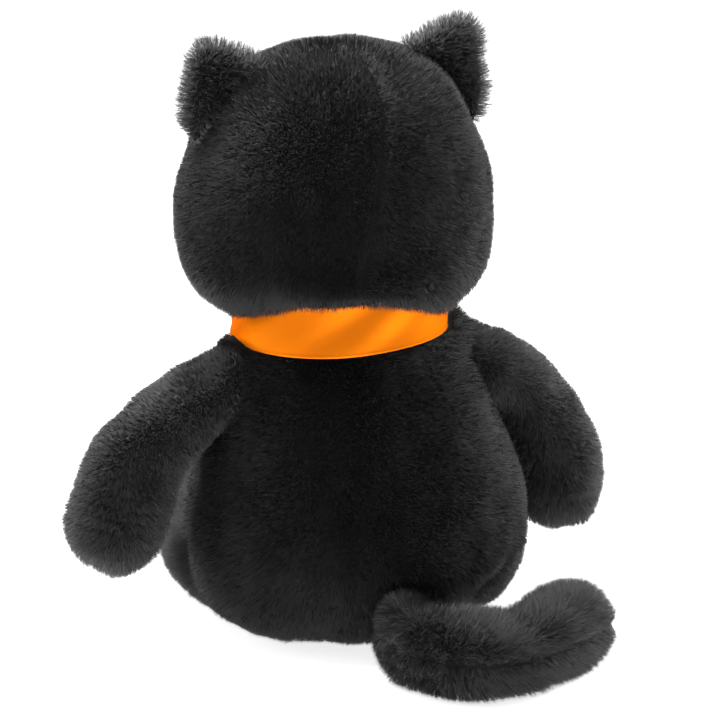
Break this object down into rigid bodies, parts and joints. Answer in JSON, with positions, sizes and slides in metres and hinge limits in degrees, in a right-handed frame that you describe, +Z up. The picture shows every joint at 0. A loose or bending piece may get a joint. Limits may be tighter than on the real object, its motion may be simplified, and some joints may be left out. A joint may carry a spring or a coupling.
{
  "type": "plush cat",
  "caption": "Seated black plush cat with a satin neck ribbon and bow; soft sewn head, arms, legs and a curved tail that flex at their seams.",
  "frame": {"origin": "centre of the flat seat, on the surface the cat sits on", "axes": "+Z up, -Y the way the cat faces, +X the cat's left side"},
  "size_m": [0.2732, 0.2981, 0.2881],
  "materials": {
    "black_plush": "long-pile plush",
    "ear_lining": "short-pile plush",
    "sole_plush": "short-pile plush",
    "fibre_fill": "loose polyester fibre",
    "pellet_cloth": "plain weave",
    "black_thread": "spun thread",
    "nose_thread": "satin stitch",
    "orange_satin": "satin weave",
    "eye_amber": "polished",
    "washer_plastic": "moulded"
  },
  "bodies": {
    "torso": {"back_panel_left": "black_plush", "back_panel_right": "black_plush", "belly_panel": "black_plush", "base_panel": "black_plush", "torso_stuffing": "fibre_fill", "pellet_bag": "pellet_cloth", "closing_stitches": "black_thread", "ribbon_band": "orange_satin", "bow_knot": "orange_satin", "bow_loop_left": "orange_satin", "bow_loop_right": "orange_satin", "bow_tail_left": "orange_satin", "bow_tail_right": "orange_satin"},
    "head": {"head_panel_left": "black_plush", "head_panel_right": "black_plush", "face_panel": "black_plush", "head_stuffing": "fibre_fill", "ear_back_left": "black_plush", "ear_back_right": "black_plush", "ear_front_left": "ear_lining", "ear_front_right": "ear_lining", "eye_left": "eye_amber", "eye_right": "eye_amber", "eye_washer_left": "washer_plastic", "eye_washer_right": "washer_plastic", "muzzle_pad": "black_plush", "nose": "nose_thread", "lip_stitch": "black_thread", "mouth_stitches": "black_thread"},
    "arm_left": {"arm_back_left": "black_plush", "arm_front_left": "black_plush", "arm_stuffing_left": "fibre_fill"},
    "arm_right": {"arm_back_right": "black_plush", "arm_front_right": "black_plush", "arm_stuffing_right": "fibre_fill"},
    "leg_left": {"leg_upper_left": "black_plush", "leg_lower_left": "black_plush", "leg_stuffing_left": "fibre_fill", "sole_pad_left": "sole_plush"},
    "leg_right": {"leg_upper_right": "black_plush", "leg_lower_right": "black_plush", "leg_stuffing_right": "fibre_fill", "sole_pad_right": "sole_plush"},
    "tail": {"tail_upper": "black_plush", "tail_lower": "black_plush", "tail_stuffing": "fibre_fill"}
  },
  "joints": [
    {"name": "head_turn", "type": "hinge", "parent": "torso", "child": "head", "pos_m": [0, -0.006, 0.16], "axis": [0, 0, 1], "range_deg": [-20, 20], "stiffness_Nm_per_rad": 0.12},
    {"name": "arm_left_swing", "type": "hinge", "parent": "torso", "child": "arm_left", "pos_m": [0.0645, 0, 0.1215], "axis": [-1, 0, 0], "range_deg": [-15, 40], "stiffness_Nm_per_rad": 0.06},
    {"name": "arm_right_swing", "type": "hinge", "parent": "torso", "child": "arm_right", "pos_m": [-0.0645, 0, 0.1215], "axis": [-1, 0, 0], "range_deg": [-15, 40], "stiffness_Nm_per_rad": 0.06},
    {"name": "leg_left_splay", "type": "hinge", "parent": "torso", "child": "leg_left", "pos_m": [0.0555, -0.024, 0.026], "axis": [0, 0, 1], "range_deg": [-4, 26], "stiffness_Nm_per_rad": 0.08},
    {"name": "leg_right_splay", "type": "hinge", "parent": "torso", "child": "leg_right", "pos_m": [-0.0555, -0.024, 0.026], "axis": [0, 0, -1], "range_deg": [-4, 26], "stiffness_Nm_per_rad": 0.08},
    {"name": "tail_swing", "type": "hinge", "parent": "torso", "child": "tail", "pos_m": [0, 0.072, 0.0195], "axis": [0, 0, 1], "range_deg": [-15, 18], "stiffness_Nm_per_rad": 0.05}
  ]
}
